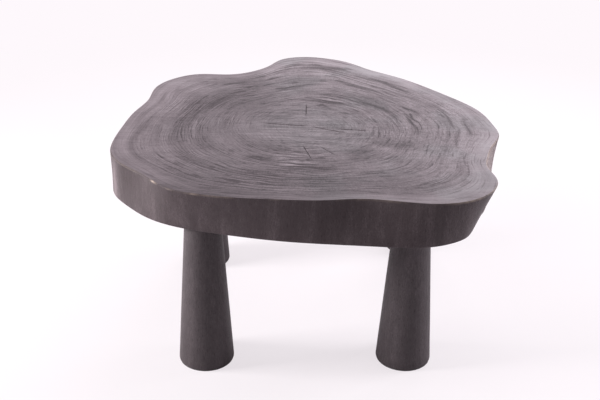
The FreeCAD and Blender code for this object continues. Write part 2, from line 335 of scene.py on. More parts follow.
def stroke_shade(angle, share):
    """How dark the listed strokes and patches are."""
    shade = np.zeros_like(share)
    for centre, spread, at, half, dark in STROKES:
        off = np.degrees(np.angle(np.exp(1j * (angle - math.radians(centre))))) / spread
        bent = at + 0.012 * np.sin(off * 2.3 + centre)
        shade = np.maximum(shade, dark * np.exp(-off ** 4) * np.exp(-((share - bent) / half) ** 2))
    return shade


def distances(points, share):
    """Level distance of each point from a place given as shares of the slab's half sizes."""
    return np.linalg.norm(points[:, :2] - np.array(share) * HALF_SLAB, axis=1)


def check_depth(place):
    """How deep the drying checks go, in metres."""
    depth = np.zeros(len(place))
    for start, end, width, dark in CHECK_SHARES:
        a = np.array(start) * HALF_SLAB
        b = np.array(end) * HALF_SLAB
        along = np.clip((place - a) @ (b - a) / ((b - a) @ (b - a)), 0.0, 1.0)
        off = np.linalg.norm(place - a - along[:, None] * (b - a), axis=1)
        reach = CHECK_REACH * CHECK_WIDTH * width
        taper = np.sqrt(np.clip(4.0 * along * (1.0 - along), 0.02, 1.0))
        depth = np.maximum(depth, CHECK_DEPTH * dark * taper * np.exp(-(off / reach) ** 2))
    return depth


# Meshes.

def mesh_object(name, points, faces):
    """A smooth-shaded object from points and faces."""
    mesh = bpy.data.meshes.new(name)
    mesh.from_pydata([tuple(p) for p in points], [], [tuple(f) for f in faces])
    mesh.validate()
    mesh.polygons.foreach_set("use_smooth", [True] * len(mesh.polygons))
    mesh.update()
    piece = bpy.data.objects.new(name, mesh)
    bpy.context.scene.collection.objects.link(piece)
    return piece


def band(lower, upper):
    """Faces between two closed rows of numbered points; the upper one lies inward or above."""
    following = np.roll(lower, -1)
    above = np.roll(upper, -1)
    return np.column_stack((lower, following, above, upper))


def set_attribute(piece, name, values):
    """Keeps one value or one vector for each point of a mesh for its material."""
    kind, field = ("FLOAT", "value") if values.ndim == 1 else ("FLOAT_VECTOR", "vector")
    piece.data.attributes.new(name, kind, "POINT").data.foreach_set(field, np.ravel(values))


def top_face_rows(inner):
    """Rows of the upper face from near the pith out to the arris, with their growth and shade."""
    away = inner - PITH
    angle = np.arctan2(away[:, 1], away[:, 0])
    rim = np.hypot(away[:, 0], away[:, 1])
    parts, orders, rest = swellings(angle, rim)
    rows, growths, shades = [], [], []
    for share in np.linspace(0.0, 1.0, TOP_ROWS + 1)[1:]:
        shares = np.full(COLUMNS, share)
        radius = ring_radius(share, parts, orders, rest)
        place = PITH + np.column_stack((np.cos(angle), np.sin(angle))) * radius[:, None]
        growth = share * GROWTH_REACH + ring_wander(angle, shares)
        relief = ring_relief(angle, growth)
        quiet = blend(0.0, 0.35, shares) * (1.0 - blend(0.985, 1.0, shares))
        shade = stroke_shade(angle, shares)
        sunk = RELIEF * quiet * (0.5 - 0.5 * relief) * 0.8 + shade * 0.25 * MM * quiet
        height = SLAB_TOP - sunk - check_depth(place)
        rows.append(np.column_stack((place, height)))
        growths.append(growth)
        shades.append(shade)
    return rows, growths, shades


def side_rows(outlines, outwards):
    """Rows from the upper face round the arris, down the side and round the lower arris."""
    (top, bottom), (top_out, bottom_out) = outlines, outwards
    profile = [(SLAB_TOP - sunk, inset) for sunk, inset in quarter_round(TOP_ARRIS, ARRIS_ROWS)[-2::-1]]
    for step in range(1, SIDE_ROWS):
        share = step / SIDE_ROWS
        down = TOP_ARRIS + share * (SLAB_THICKNESS - TOP_ARRIS - BOTTOM_ARRIS)
        profile.append((SLAB_TOP - down, 0.0))
    profile += [(SLAB_UNDERSIDE + up, inset) for up, inset in quarter_round(BOTTOM_ARRIS, ARRIS_ROWS)]
    rows = []
    for height, inset in profile:
        down = (SLAB_TOP - height) / SLAB_THICKNESS
        outline = (1.0 - down) * top + down * bottom
        outward = (1.0 - down) * top_out + down * bottom_out
        middle = 4.0 * down * (1.0 - down)
        x, y = outline.T * 1000.0
        z = height * 1000.0
        waver = sum(strength * soft_noise(x / width + start, y / width + start, z / high, seed)
                    for strength, width, start, high, seed in SIDE_WAVERS)
        hollow = MM * middle * np.maximum(SIDE_HOLLOW + waver, 0.0)
        place = outline - outward * (inset + hollow)[:, None]
        rows.append(np.column_stack((place, np.full(COLUMNS, height))))
    return rows


def circle(centre, radius, count):
    """Points round a circle."""
    turn = np.linspace(0.0, 2.0 * math.pi, count, endpoint=False)
    return np.column_stack((centre[0] + radius * np.cos(turn), centre[1] + radius * np.sin(turn)))


def underside(edge):
    """Flat face with four bores: extra points, triangles and the numbers of each bore's rim."""
    spacing = UNDERSIDE_SPACING
    holes = [circle(np.array(share) * HALF_SLAB, INSERT_BORE_RADIUS, BORE_COLUMNS)
             for share in LEG_PLACE_SHARES.values()]
    xs, ys = [np.arange(-half, half, spacing) for half in UNDERSIDE_HALF]
    grid = np.array([(x + 0.5 * spacing * (n % 2), y) for n, y in enumerate(ys) for x in xs])
    grid += 0.25 * spacing * np.column_stack([soft_noise(grid[:, 0] * 90, grid[:, 1] * 90, height, seed)
                                              for height, seed in UNDERSIDE_SEEDS])
    inside = inside_outline(grid, edge) & (nearest(grid, edge) > 0.6 * spacing)
    for hole in holes:
        inside &= np.linalg.norm(grid - hole.mean(0), axis=1) > INSERT_BORE_RADIUS + 0.5 * spacing
    grid = grid[inside]
    points = np.vstack([edge] + holes + [grid])
    borders, start = [list(range(len(edge)))], len(edge)
    for hole in holes:
        borders.append(list(range(start, start + len(hole)))[::-1])
        start += len(hole)
    edges = [pair for loop in borders for pair in zip(loop, loop[1:] + loop[:1])]
    made = delaunay_2d_cdt([Vector(p) for p in points], edges, [], 0, 1e-7)
    places = np.array([tuple(p) for p in made[0]])
    faces = []
    for face in made[2]:
        centre = places[list(face)].mean(0)
        away = min(np.linalg.norm(centre - hole.mean(0)) for hole in holes)
        if away >= 0.98 * INSERT_BORE_RADIUS and inside_outline(centre[None, :], edge)[0]:
            faces.append([made[3][n][0] for n in face][::-1])
    return points[len(edge):], faces, borders[1:]


def nearest(points, edge):
    """Distance from each point to the nearest point of an outline."""
    return np.min(np.linalg.norm(points[:, None, :] - edge[None, :, :], axis=2), axis=1)


def inside_outline(points, edge):
    """Whether each point lies inside a closed outline."""
    ahead = np.roll(edge, -1, 0)
    x, y = points[:, 0:1], points[:, 1:2]
    crosses = (edge[None, :, 1] > y) != (ahead[None, :, 1] > y)
    rise = ahead[:, 1] - edge[:, 1]
    rise = np.where(np.abs(rise) < 1e-12, 1e-12, rise)
    at = edge[None, :, 0] + (y - edge[None, :, 1]) / rise[None, :] * (ahead - edge)[None, :, 0]
    return np.sum(crosses & (x < at), axis=1) % 2 == 1


def worn_arris(points):
    """How much of the stain is rubbed off near each worn place."""
    worn = np.zeros(len(points))
    for share, reach, strength in WORN_PLACES:
        off = distances(points, share)
        worn = np.maximum(worn, strength * np.exp(-(off / reach) ** 2))
    return worn


def side_tones_and_highlight(place, down):
    """Tone of the listed side patches at one height of the side, with the painted highlight at the left
    end.
    """
    tone = np.zeros(len(place))
    for share, reach, at, strength in SIDE_TONES_AND_HIGHLIGHT:
        off = distances(place, share)
        tone += strength * np.exp(-(off / reach) ** 2) * math.exp(-((down - at) / SIDE_TONE_HEIGHT) ** 2)
    return tone


def slab_values(slab, everything, numbers, growths, shades):
    """Keeps on the slab's points what its materials read."""
    away = everything[:, :2] - PITH
    direction = np.arctan2(away[:, 1], away[:, 0])
    ring_rows = np.full(len(everything), GROWTH_REACH)
    shade = np.zeros(len(everything))
    ring_rows[0] = 0.0
    for row, growth, dark in zip(numbers, growths, shades):
        ring_rows[row] = growth
        shade[row] = dark
    # The side rows keep their tone patches here, the painted highlight at the left end among them.
    for row in numbers[TOP_ROWS:]:
        down = (SLAB_TOP - everything[row[0], 2]) / SLAB_THICKNESS
        shade[row] = side_tones_and_highlight(everything[row, :2], down)
    low = everything[:, 2] < SLAB_UNDERSIDE + 0.5 * MM
    ring_rows[low] = np.hypot(away[low, 0], away[low, 1])
    arris = np.zeros(len(everything))
    for step, value in enumerate(ARRIS_SHARES):
        arris[numbers[TOP_ROWS - 1 + step]] = value
    turn = np.column_stack((np.cos(direction), np.sin(direction), np.zeros(len(direction))))
    rubbed = NOTCH_STRENGTH * np.exp(-(distances(everything, NOTCH_SHARE) / NOTCH_REACH) ** 4)
    for name, kept_values in {"growth": ring_rows, "turn": turn, "shade": shade, "rubbed": rubbed,
                              "worn": worn_arris(everything), "arris": arris}.items():
        set_attribute(slab, name, kept_values)


def make_slab():
    """The slab: ringed upper face with drying checks, eased arrises, ruled side and bored underside.

    With it comes the number of the material of each face: 0 for the upper face, 1 for the side.
    """
    outlines, outwards = rims()
    inner = outlines[0] - outwards[0] * TOP_ARRIS
    rows, growths, shades = top_face_rows(inner)
    points = [np.array([[PITH[0], PITH[1], SLAB_TOP - 0.2 * MM]])]
    faces, numbers, count = [], [], 1
    for row in rows + side_rows(outlines, outwards):
        numbers.append(np.arange(count, count + COLUMNS))
        points.append(row)
        count += COLUMNS
    faces += [(0, a, b) for a, b in zip(numbers[0], np.roll(numbers[0], -1))]
    for within, beyond in zip(numbers[:-1], numbers[1:]):
        faces += band(beyond, within).tolist()
    extra, flat, bores = underside(points[-1][:, :2])
    extra_numbers = np.concatenate((numbers[-1], np.arange(count, count + len(extra))))
    faces += [[int(extra_numbers[n]) for n in face] for face in flat]
    points.append(np.column_stack((extra, np.full(len(extra), SLAB_UNDERSIDE))))
    count += len(extra)
    for bore in bores:
        lower = extra_numbers[bore]
        raised = np.vstack(points)[lower] + np.array((0.0, 0.0, INSERT_BORE_DEPTH))
        points.append(raised)
        upper = np.arange(count, count + len(raised))
        count += len(raised)
        faces += band(lower, upper).tolist()
        faces.append(upper.tolist())
    everything = np.vstack(points)
    slab = mesh_object("slab", everything, faces)
    slab_values(slab, everything, numbers, growths, shades)
    slots = np.zeros(len(slab.data.polygons), int)
    slots[COLUMNS * (TOP_ROWS + 1):COLUMNS * len(numbers)] = 1
    return slab, slots


def turned_piece(name, centre, profile, columns, relief=None, bore=None):
    """A closed turned form from its radii and heights, lowest first, with a bore in its top."""
    turn = np.linspace(0.0, 2.0 * math.pi, columns, endpoint=False)
    points, faces = [], []
    walk = list(profile)
    if bore:
        walk += [(bore[0], walk[-1][1]), (bore[0], walk[-1][1] - bore[1])]
    for n, (radius, height) in enumerate(walk):
        radii = np.full(columns, radius)
        if relief is not None and n < len(profile):
            radii = radii - relief(turn, height)
        points.append(np.column_stack((centre[0] + radii * np.cos(turn),
                                       centre[1] + radii * np.sin(turn), np.full(columns, height))))
    rows = np.arange(columns * len(walk)).reshape(len(walk), columns)
    for low, high in zip(rows[:-1], rows[1:]):
        faces += band(low, high).tolist()
    faces.append(rows[0].tolist()[::-1])
    faces.append(rows[-1].tolist())
    return mesh_object(name, np.vstack(points), faces)


def make_leg(corner, share, seed):
    """One turned leg: straight taper, thin end up, eased foot, slight marks of lathe and grain."""
    foot, head = PAD_THICKNESS, SLAB_UNDERSIDE
    profile = [(LEG_FOOT_RADIUS - inset, foot + rise)
               for inset, rise in quarter_round(LEG_EASE, LEG_EASE_ROWS)]
    for step in range(1, LEG_ROWS + 1):
        up = step / LEG_ROWS
        profile.append((LEG_FOOT_RADIUS + up * (LEG_TOP_RADIUS - LEG_FOOT_RADIUS),
                        foot + LEG_EASE + up * (head - foot - LEG_EASE)))
    profile[-1] = (LEG_TOP_RADIUS, head)

    def relief(turn, height):
        rings = soft_noise(0.5, 0.5, height / LEG_RING_HEIGHT + 3, seed + 2)
        total = LEG_RINGS * (1.0 + rings) + LEG_SLENDER * (height - foot) / (head - foot)
        for strength, often, start, high, step in LEG_RELIEFS:
            grain = round_noise(turn, often, start, height / high + 3, seed + step)
            total = total + strength * (1.0 + grain)
        return total

    return turned_piece("leg_turned_" + corner, np.array(share) * HALF_SLAB, profile, LEG_COLUMNS,
                        relief, (BOLT_BORE_RADIUS, BOLT_BORE_DEPTH))


def make_pad(corner, share, seed):
    """One felt disc under a leg, its cut edge soft and a little uneven."""
    profile = [(PAD_RADIUS - inset, height) for inset, height in PAD_PROFILE]

    def relief(turn, height):
        return PAD_RELIEF * (1.0 + round_noise(turn, 16.0, 20.0, height / MM + 3, seed))

    return turned_piece("felt_disc_" + corner, np.array(share) * HALF_SLAB, profile, PAD_COLUMNS,
                        relief)


# Short calls for making a material's nodes.

def put(tree, socket, value):
    """Links a node's output into the socket, or sets the socket's own value."""
    if isinstance(value, bpy.types.NodeSocket):
        tree.links.new(value, socket)
    else:
        socket.default_value = value


def node(tree, kind, inputs=None, **settings):
    """A shader node with its settings and inputs."""
    made = tree.nodes.new("ShaderNode" + kind)
    for name, value in settings.items():
        setattr(made, name, value)
    for name, value in (inputs or {}).items():
        put(tree, made.inputs[name], value)
    return made


def object_place(tree):
    """Where a point lies in the object's own frame."""
    return node(tree, "TexCoord").outputs["Object"]


def kept(tree, name, output="Fac"):
    """A value kept on the mesh."""
    return node(tree, "Attribute", attribute_name=name).outputs[output]


def times(tree, first, *others):
    """Product of values."""
    for value in others:
        first = maths(tree, "MULTIPLY", first, value)
    return first


def plus(tree, value, weight, total):
    """The value times its weight, added to a total."""
    return maths(tree, "MULTIPLY_ADD", value, weight, total)


def maths(tree, operation, *values):
    """One step of arithmetic."""
    return node(tree, "Math", dict(enumerate(values)), operation=operation).outputs[0]


def vectors(tree, operation, *values):
    """One step of vector arithmetic."""
    made = node(tree, "VectorMath", dict(enumerate(values)), operation=operation)
    return made.outputs["Value" if operation in ("DOT_PRODUCT", "DISTANCE", "LENGTH") else "Vector"]


def scaled(tree, vector, size):
    """A vector made longer or shorter."""
    return node(tree, "VectorMath", {0: vector, "Scale": size}, operation="SCALE").outputs[0]


def span(tree, value, low, high, first=0.0, last=1.0):
    """Turns the stretch from low to high smoothly into the stretch from first to last."""
    stretch = {"Value": value, "From Min": low, "From Max": high, "To Min": first, "To Max": last}
    return node(tree, "MapRange", stretch, interpolation_type="SMOOTHSTEP").outputs["Result"]


def product_of(tree, values, factors):
    """Product of smooth stretches, each of one of the named values."""
    return times(tree, *[span(tree, values[name], *stretch) for name, *stretch in factors])


def noise(tree, place, scale=1.0, detail=2.0, rough=0.5, bend=0.0):
    """Procedural noise around one half."""
    return node(tree, "TexNoise", {"Vector": place, "Scale": scale, "Detail": detail,
                                   "Roughness": rough, "Distortion": bend}).outputs["Fac"]


def mixed(tree, share, first, second, how="MIX"):
    """One colour over another."""
    inputs = {0: share, 6: first, 7: second}
    return node(tree, "Mix", inputs, data_type="RGBA", blend_type=how).outputs[2]


def weighed(tree, base, values, **weights):
    """base plus, for each named value, its distance from one half times its weight."""
    total = base
    for name, weight in weights.items():
        total = plus(tree, values[name], weight, maths(tree, "ADD", total, -0.5 * weight))
    return total


def less(tree, value, share):
    """One, less a share of the value."""
    return plus(tree, value, -share, 1.0)


def moved(tree, share, value, goal):
    """A value moved by a share of the way towards a goal."""
    return plus(tree, share, maths(tree, "SUBTRACT", goal, value), value)


def ramp(tree, value, *stops):
    """A colour for each height of a value."""
    made = node(tree, "ValToRGB")
    made.color_ramp.interpolation = "LINEAR"
    points = made.color_ramp.elements
    while len(points) < len(stops):
        points.new(0.5)
    for point, (at, colour) in zip(points, stops):
        point.position = at
        point.color = colour
    put(tree, made.inputs[0], value)
    return made.outputs[0]


def new_material(name, roughness=0.5):
    """An empty material with its shader."""
    material = bpy.data.materials.new(name)
    material.use_nodes = True
    tree = material.node_tree
    tree.nodes.clear()
    shader = node(tree, "BsdfPrincipled", {"Roughness": roughness})
    node(tree, "OutputMaterial", {0: shader.outputs[0]})
    return material, tree, shader


def relief_of(tree, shader, height):
    """Bump from a height in millimetres."""
    bump = node(tree, "Bump", {"Strength": 1.0, "Distance": MM, "Height": height})
    tree.links.new(bump.outputs[0], shader.inputs["Normal"])


def grain_noises(tree, place, forms):
    """Noises drawn out along the trunk's axis: width across it, length along it, detail."""
    made = {}
    for name, (across, along, detail) in forms.items():
        drawn = vectors(tree, "MULTIPLY", place, (1.0 / across, 1.0 / across, 1.0 / along))
        made[name] = noise(tree, drawn, 1.0, detail)
    return made


def plain_noises(tree, place, forms):
    """Noises alike in every direction: scale, detail, roughness and bend."""
    return {name: noise(tree, place, *form) for name, form in forms.items()}


def check_mask(tree, place, start, end, width):
    """1 on a drying check's line, fading at its sides and ends."""
    a = np.array(start) * HALF_SLAB
    b = np.array(end) * HALF_SLAB
    run = b - a
    away = vectors(tree, "SUBTRACT", place, (*a, SLAB_TOP))
    flat = vectors(tree, "MULTIPLY", away, (1.0, 1.0, 0.0))
    along = vectors(tree, "DOT_PRODUCT", flat, (*run / (run @ run), 0.0))
    share = maths(tree, "MINIMUM", maths(tree, "MAXIMUM", along, 0.0), 1.0)
    off = vectors(tree, "DISTANCE", flat, scaled(tree, (*run, 0.0), share))
    half = 0.5 * CHECK_WIDTH * width
    ends = times(tree, span(tree, share, 0.0, 0.25), span(tree, share, 1.0, 0.7))
    return times(tree, span(tree, off, 1.3 * half, 0.3 * half), plus(tree, ends, 0.7, 0.3))


def checks_of(tree, place):
    """All the drying checks, their lines a little crooked."""
    crook = node(tree, "TexNoise", {"Vector": place, "Scale": 90.0, "Detail": 2.0}).outputs["Color"]
    sway = vectors(tree, "SUBTRACT", crook, (0.5, 0.5, 0.5))
    crooked = vectors(tree, "ADD", place, scaled(tree, sway, CHECK_SWAY))
    total = None
    for start, end, width, dark in CHECK_SHARES:
        mask = times(tree, check_mask(tree, crooked, start, end, width), dark)
        total = mask if total is None else maths(tree, "MAXIMUM", total, mask)
    return total


def ring_noise(tree, turn, growth, around, across, detail=1.0):
    """Noise drawn out along the growth rings; a larger around makes it shorter, across is its width."""
    out = node(tree, "CombineXYZ", {"Z": times(tree, growth, 1.0 / across)}).outputs[0]
    return noise(tree, vectors(tree, "ADD", scaled(tree, turn, around), out), 1.0, detail)


def capped(tree, value):
    """Noise whose pale half is held back, so that dark lines lead."""
    return maths(tree, "MINIMUM", value, PALE_CAP)


def annual_lines(tree, turn, growth, spacing, wander):
    """Rings that darken outward and end sharply, stronger and fainter along their way."""
    stray = times(tree, ring_noise(tree, turn, growth, 2.2, 3.0 * spacing, 2.0), wander)
    part = maths(tree, "FRACT", plus(tree, growth, 1.0 / spacing, stray))
    late = maths(tree, "SUBTRACT", 0.25, maths(tree, "POWER", part, 3.0))
    strength = span(tree, ring_noise(tree, turn, growth, 4.5, 1.7 * spacing), 0.38, 0.62, 0.15, 1.0)
    return times(tree, late, strength)


# The wood of the slab's upper face, and of its worn edge.
TOP_DARK = srgb(66, 57, 62)
TOP_MIDDLE = srgb(131, 120, 126)
TOP_LIGHT = srgb(173, 162, 169)
TOP_COOL = srgb(121, 117, 121)
COOL_TINT = srgb(242, 255, 252)
CHECK_COLOUR = srgb(48, 41, 43)
WORN_COLOUR = srgb(200, 180, 168)
WOOD_SHEEN = 0.2
PALE_CAP = 0.56

# Its noises along the rings: how often they change on the way round, width across, detail.
RING_NOISES = {
    "broad": (1.2, 0.034, 0.0), "bands": (2.0, 0.0115), "rings": (3.6, 0.0046), "lines": (6.5, 0.0021),
    "drawn": (2.8, 0.0024), "dashes": (5.0, 0.0050), "flecks": (5.5, 0.0120, 2.0),
    "rays": (105.0, 0.018, 2.0)}

# Its two sets of annual rings: spacing, and how far they stray.
ANNUAL_RINGS = {"annual": (0.0062, 3.2), "grouped": (0.0145, 2.6)}

# Its noises that know nothing of the rings.
TOP_NOISES = {
    "fibres": (900.0, 2.0), "grain": (330.0, 3.0, 0.6), "patches": (8.5, 3.0), "mottle": (60.0, 3.0),
    "presence": (11.0, 2.0), "cool": (7.0, 2.0)}
SANDING = (13.0, 190.0, 1.0)

# How clearly the rings show: what is read, its stretch, and what the stretch becomes.
RING_CLEARNESS = (
    ("out", 0.04, 0.17, 0.60, 1.0), ("presence", 0.35, 0.65, 0.45, 1.2),
    ("back", -0.75, -0.2, 0.96, 0.74), ("right", -1.0, -0.2, 0.72, 1.0),
    ("right less back", 1.0, 1.38, 1.0, 0.42), ("right", 0.2, 0.8, 1.0, 0.97),
    ("back", 0.4, 0.9, 1.0, 0.87))

# Paler and darker regions of the face: strength, and the stretches that bound the region. The pale band
# along the rim, stronger at the left, and the paler right and back are painted sheen; the darker back
# is painted shade that evens out the back lamp; the others darken or lighten the wood's tone.
PAINTED_LIGHT_AND_TONE_REGIONS = (
    (0.16, ("out", 0.27, 0.405)),
    (-0.04, ("out", 0.05, 0.25)),
    (0.12, ("out", 0.05, 0.25), ("right and back", -1.2, 0.7)),
    (-0.11, ("out", 0.06, 0.18), ("out", 0.40, 0.33), ("back", 0.2, 0.95)),
    (-0.07, ("out", 0.06, 0.18), ("out", 0.33, 0.26), ("right", -0.15, -0.75)),
    (0.08, ("out", 0.33, 0.39), ("back", -0.43, -0.55), ("right", 0.65, 0.76)),
    (0.08, ("out", 0.10, 0.25), ("right less back", 1.0, 1.38)),
    (-0.07, ("out", 0.10, 0.22), ("right less back", -0.7, -1.35)),
    (0.16, ("out", 0.21, 0.27), ("out", 0.37, 0.33), ("back", 0.75, 0.97)),
    (-0.05, ("out", 0.370, 0.392)),
    (0.09, ("out", 0.370, 0.392), ("right", -0.6, 0.0)),
    (-0.05, ("out", 0.17, 0.05)))

# What is added to the rings before their clearness counts, and after it.
RING_BASE = -0.03
RING_REST = 0.40

TOP_ROUGHNESS = 0.74
STROKE_WEIGHT = -0.72
DASH_DARKNESS = 0.26


def top_values(tree):
    """What the upper face's material reads: noises, rings and a point's place from the pith."""
    growth, turn = kept(tree, "growth"), kept(tree, "turn", "Vector")
    place = object_place(tree)
    values = {name: ring_noise(tree, turn, growth, *form) for name, form in RING_NOISES.items()}
    for name, (spacing, wander) in ANNUAL_RINGS.items():
        values[name] = annual_lines(tree, turn, growth, spacing, wander)
    values.update(plain_noises(tree, place, TOP_NOISES))
    values["sanding"] = noise(tree, vectors(tree, "MULTIPLY", place, SANDING))
    compass = node(tree, "SeparateXYZ", {"Vector": turn}).outputs
    right, back = compass["X"], compass["Y"]
    values.update({"place": place, "out": growth, "right": right, "back": back,
                   "right and back": maths(tree, "ADD", right, back),
                   "right less back": maths(tree, "SUBTRACT", right, back)})
    values["left"] = span(tree, right, -0.15, -0.75)
    values["lengthways"] = span(tree, maths(tree, "ABSOLUTE", back), 0.3, 0.9)
    values["heart"] = span(tree, growth, 0.17, 0.05)
    values["calm"] = span(tree, growth, 0.36, 0.402, 1.0, 0.4)
    values["clearness"] = times(tree, product_of(tree, values, RING_CLEARNESS), values["calm"])
    return values


def settle_lines(tree, values):
    """Draws the fine lines out longer at both sides and softens them lengthways and at the left."""
    lines = values["lines"]
    longer = maths(tree, "MAXIMUM", values["left"], span(tree, values["right"], 0.2, 0.75, 0.0, 0.65))
    lines = moved(tree, longer, lines, values["drawn"])
    lines = moved(tree, times(tree, values["lengthways"], 0.22), lines, 0.5)
    lines = moved(tree, times(tree, values["left"], 0.2), lines, 0.5)
    values.update({"lines": lines, "capped_lines": capped(tree, lines),
                   "capped_rings": capped(tree, values["rings"])})


def rings_tone(tree, values):
    """Light and dark of the rings: bands, capped rings and lines, and both sets of annual rings."""
    left = values["left"]
    tone = weighed(tree, 0.0, values, bands=0.40, capped_rings=0.95)
    tone = times(tree, tone, less(tree, left, 0.40))
    tone = weighed(tree, tone, values, capped_lines=1.10)
    tone = plus(tree, values["annual"], span(tree, values["right"], 0.1, -0.6, 0.50, 0.76), tone)
    share = times(tree, plus(tree, values["lengthways"], 0.50, 0.28), less(tree, left, 0.5))
    tone = plus(tree, values["grouped"], share, tone)
    return plus(tree, maths(tree, "ADD", tone, RING_BASE), values["clearness"], RING_REST)


def surface_tone(tree, values):
    """Light and dark of the fine grain, calmer at the rim, on the left and lengthways."""
    tone = weighed(tree, 0.0, values, mottle=0.44, grain=1.0, fibres=0.36, rays=0.36)
    return times(tree, tone, values["calm"], less(tree, values["left"], 0.40),
                 less(tree, values["lengthways"], 0.36))


def strokes_tone(tree, values):
    """Light and dark of the sanding marks, dashes, flecks and hand-placed strokes."""
    share = maths(tree, "ADD", values["heart"], 0.26)
    sanded = times(tree, maths(tree, "SUBTRACT", values["sanding"], 0.5), share)
    dashes = span(tree, values["dashes"], 0.60, 0.72, 0.0, DASH_DARKNESS)
    dashes = times(tree, dashes, less(tree, values["left"], 0.8))
    flecks = span(tree, values["flecks"], 0.59, 0.70, 0.0, DASH_DARKNESS)
    flecks = times(tree, flecks, values["lengthways"])
    tone = maths(tree, "SUBTRACT", maths(tree, "SUBTRACT", sanded, dashes), flecks)
    marked = times(tree, kept(tree, "shade"), span(tree, values["rings"], 0.35, 0.65, 0.4, 1.0))
    return plus(tree, marked, STROKE_WEIGHT, tone)


def end_grain_material(name):
    """Stained, brushed end grain: wavering rings, dark strokes, a quiet heart and a worn arris."""
    material, tree, shader = new_material(name)
    values = top_values(tree)
    settle_lines(tree, values)
    tone = maths(tree, "ADD", rings_tone(tree, values), surface_tone(tree, values))
    tone = maths(tree, "ADD", tone, strokes_tone(tree, values))
    tone = weighed(tree, tone, values, broad=0.34, patches=0.48)
    # Broad regions: painted sheen along the rim and at the right and back, painted shade at the back,
    # and paler and darker places of the wood.
    for strength, *bounds in PAINTED_LIGHT_AND_TONE_REGIONS:
        tone = plus(tree, product_of(tree, values, bounds), strength, tone)
    colour = ramp(tree, tone, (0.0, TOP_DARK), (0.5, TOP_MIDDLE), (0.9, TOP_LIGHT))
    cool = span(tree, values["cool"], 0.46, 0.62, 0.0, 0.40)
    cool = times(tree, cool, less(tree, values["left"], 0.8))
    colour = mixed(tree, cool, colour, COOL_TINT, "MULTIPLY")
    colour = mixed(tree, times(tree, values["heart"], 0.30), colour, TOP_COOL)
    checks = checks_of(tree, values["place"])
    colour = mixed(tree, checks, colour, CHECK_COLOUR)
    colour = mixed(tree, rubbed_share(tree, values["place"]), colour, WORN_COLOUR)
    put(tree, shader.inputs["Base Color"], colour)
    shader.inputs["Specular IOR Level"].default_value = WOOD_SHEEN
    rough = weighed(tree, TOP_ROUGHNESS, values, lines=-0.25, mottle=0.2, rings=-0.15)
    put(tree, shader.inputs["Roughness"], plus(tree, checks, 0.3, rough))
    height = weighed(tree, 0.0, values, bands=0.16, rings=0.12, lines=0.08, fibres=0.04)
    height = plus(tree, values["annual"], 0.12, height)
    height = times(tree, height, values["clearness"])
    height = plus(tree, values["sanding"], 0.04, height)
    relief_of(tree, shader, plus(tree, checks, -0.8, height))
    return material


def rubbed_share(tree, place):
    """Where the arris is rubbed pale: a faint broken line all round, clear at the worn places."""
    runs = noise(tree, place, 16.0, 2.0)
    strength = maths(tree, "MAXIMUM", kept(tree, "worn"), span(tree, runs, 0.45, 0.7, 0.0, 0.20))
    broken = span(tree, noise(tree, place, 120.0, 3.0), 0.25, 0.6, 0.315, 0.9)
    edge = span(tree, kept(tree, "arris"), 0.3, 1.0)
    return times(tree, edge, strength, broken)


# The wood of the slab's side and of the legs, dark, middle and light.
SIDE_COLOURS = (srgb(50, 40, 43), srgb(71, 62, 65), srgb(108, 97, 101))
SIDE_RUBBED = srgb(137, 121, 121)
LEG_COLOURS = (srgb(47, 41, 43), srgb(73, 66, 69), srgb(104, 96, 99))
SIDE_STREAKS = 1.0
LEG_STREAKS = 0.4
LONG_ROUGHNESS = 0.56

# Its noises along the grain: width, length, detail; and those alike in every direction.
GRAIN_NOISES = {
    "clouds": (0.030, 0.20, 2.0), "streaks": (0.0085, 0.10, 2.0), "threads": (0.0024, 0.022, 2.0),
    "fibres": (0.0009, 0.006, 2.0), "pores": (0.0016, 0.010, 1.0), "dust": (0.0020, 0.014, 2.0)}
LONG_NOISES = {"mottle": (48.0, 3.0), "specks": (420.0, 2.0)}


def long_grain_material(name, colours, streaky, with_arris=False):
    """Stained wood seen along its grain: upright streaks, open pores, faint clouds and specks."""
    material, tree, shader = new_material(name)
    place = object_place(tree)
    values = grain_noises(tree, place, GRAIN_NOISES)
    values.update(plain_noises(tree, place, LONG_NOISES))
    pores = span(tree, values["pores"], 0.60, 0.72)
    tone = weighed(tree, 0.5, values, clouds=0.28 + 0.22 * streaky, streaks=0.18 * streaky,
                   threads=0.30 - 0.12 * streaky, fibres=0.32, mottle=0.18, specks=0.24)
    tone = plus(tree, pores, -0.22, tone)
    tone = plus(tree, span(tree, values["dust"], 0.62, 0.75), 0.10, tone)
    # On the slab's side this adds the kept tone patches, among them a painted highlight at the left
    # end.
    if with_arris:
        tone = maths(tree, "ADD", tone, kept(tree, "shade"))
    colour = ramp(tree, tone, *zip((0.12, 0.5, 0.88), colours))
    if with_arris:
        colour = mixed(tree, rubbed_share(tree, place), colour, WORN_COLOUR)
        rubbed = times(tree, kept(tree, "rubbed"), span(tree, values["threads"], 0.3, 0.6, 0.6, 1.0))
        colour = mixed(tree, rubbed, colour, SIDE_RUBBED)
    put(tree, shader.inputs["Base Color"], colour)
    shader.inputs["Specular IOR Level"].default_value = WOOD_SHEEN
    put(tree, shader.inputs["Roughness"],
        weighed(tree, LONG_ROUGHNESS, values, threads=-0.2, mottle=0.2, clouds=0.15))
    height = weighed(tree, 0.0, values, streaks=0.22 * streaky, threads=0.16 * streaky, fibres=0.05)
    relief_of(tree, shader, plus(tree, pores, -0.16, height))
    return material


FELT_DARK, FELT_LIGHT = srgb(38, 36, 38), srgb(92, 88, 90)
FELT_NOISES = {"matted": (1500.0, 4.0, 0.7, 1.5), "clumps": (260.0, 3.0)}
STEEL_DARK, STEEL_LIGHT = srgb(150, 150, 152), srgb(212, 212, 216)
DRAWN_NOISE = {"drawn": (0.0006, 0.02, 2.0)}
STEEL_NOISES = {"flecks": (420.0, 2.0), "dull": (60.0, 3.0)}


